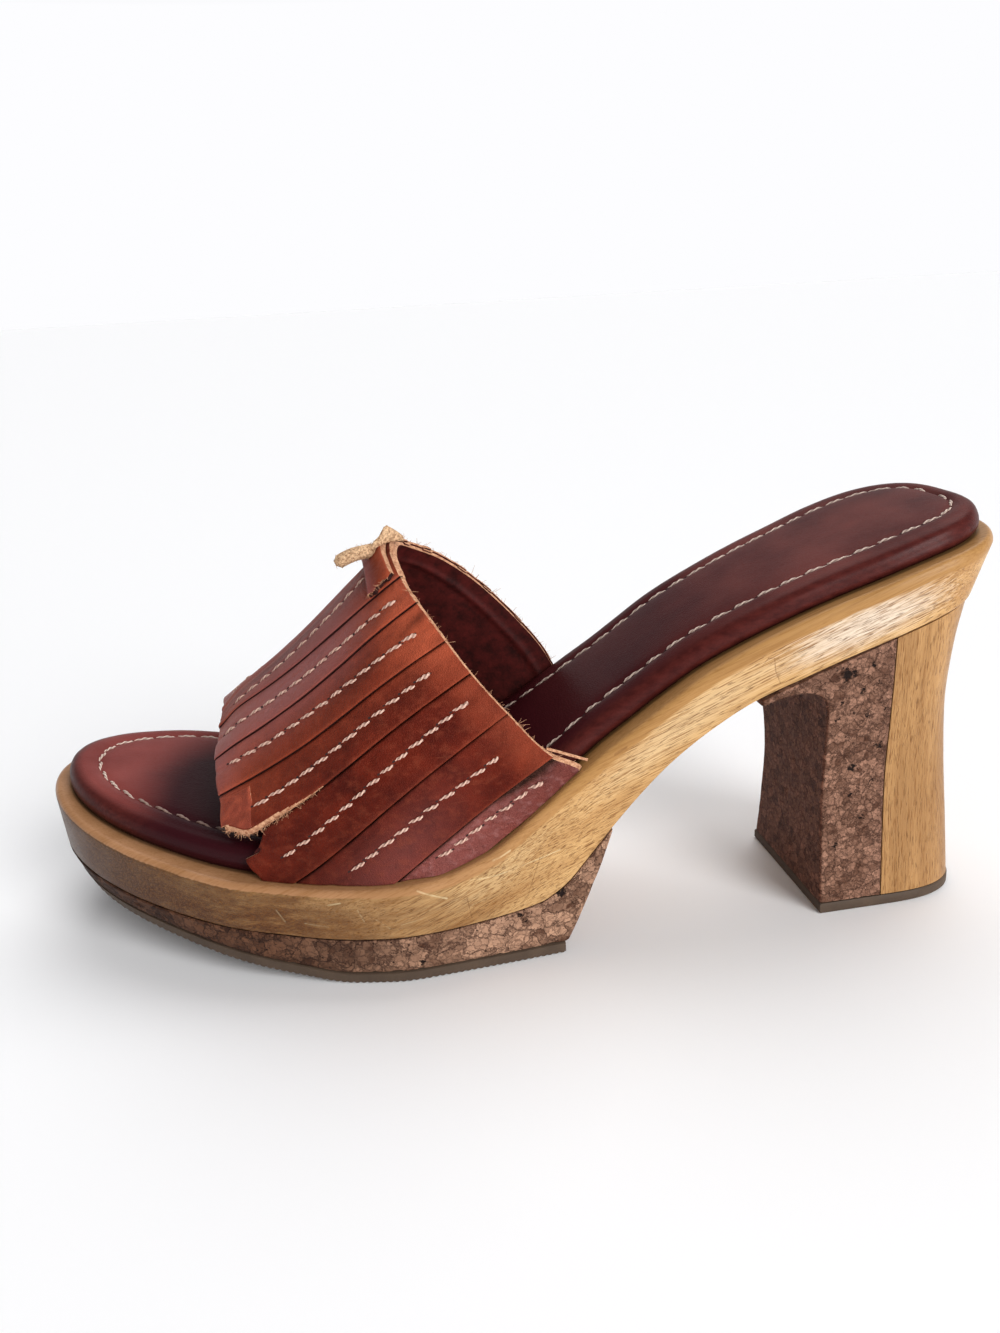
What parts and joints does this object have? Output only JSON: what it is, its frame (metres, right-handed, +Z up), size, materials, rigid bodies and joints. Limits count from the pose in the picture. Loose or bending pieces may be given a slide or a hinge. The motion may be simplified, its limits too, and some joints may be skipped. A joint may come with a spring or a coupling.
{
  "type": "wooden platform heel mule",
  "caption": "Open-toe backless platform mule for the left foot: wooden board and block heel, cork platform, thin rubber sole and a band of stitched leather strips tied with a thong.",
  "frame": {"origin": "on the floor, below the middle of the shoe's plan", "axes": "+X from toe to heel, +Y to the inner side of the foot, +Z up; the outer side of this left shoe faces -Y"},
  "size_m": [0.23, 0.0952, 0.0996],
  "materials": {
    "wood": "satin lacquer over honey-coloured grain",
    "cork": "matt pressed cork with dark seams",
    "rubber": "matt, fine ribs underneath",
    "insole_leather": "smooth, semi-gloss, worn dark at the toe",
    "band_leather": "pulled-up red-brown leather, satin",
    "suede": "napped suede"
  },
  "bodies": {
    "root": {"outsole": "rubber", "platform_cork": "cork", "sole_board": "wood", "insole": "insole_leather", "heel_cork": "cork", "heel_wood": "wood", "heel_top_lift": "rubber", "upper": "band_leather", "collar_tab": "band_leather", "thong_knot": "suede", "thong_front_end": "suede", "thong_back_end": "suede"}
  },
  "joints": []
}
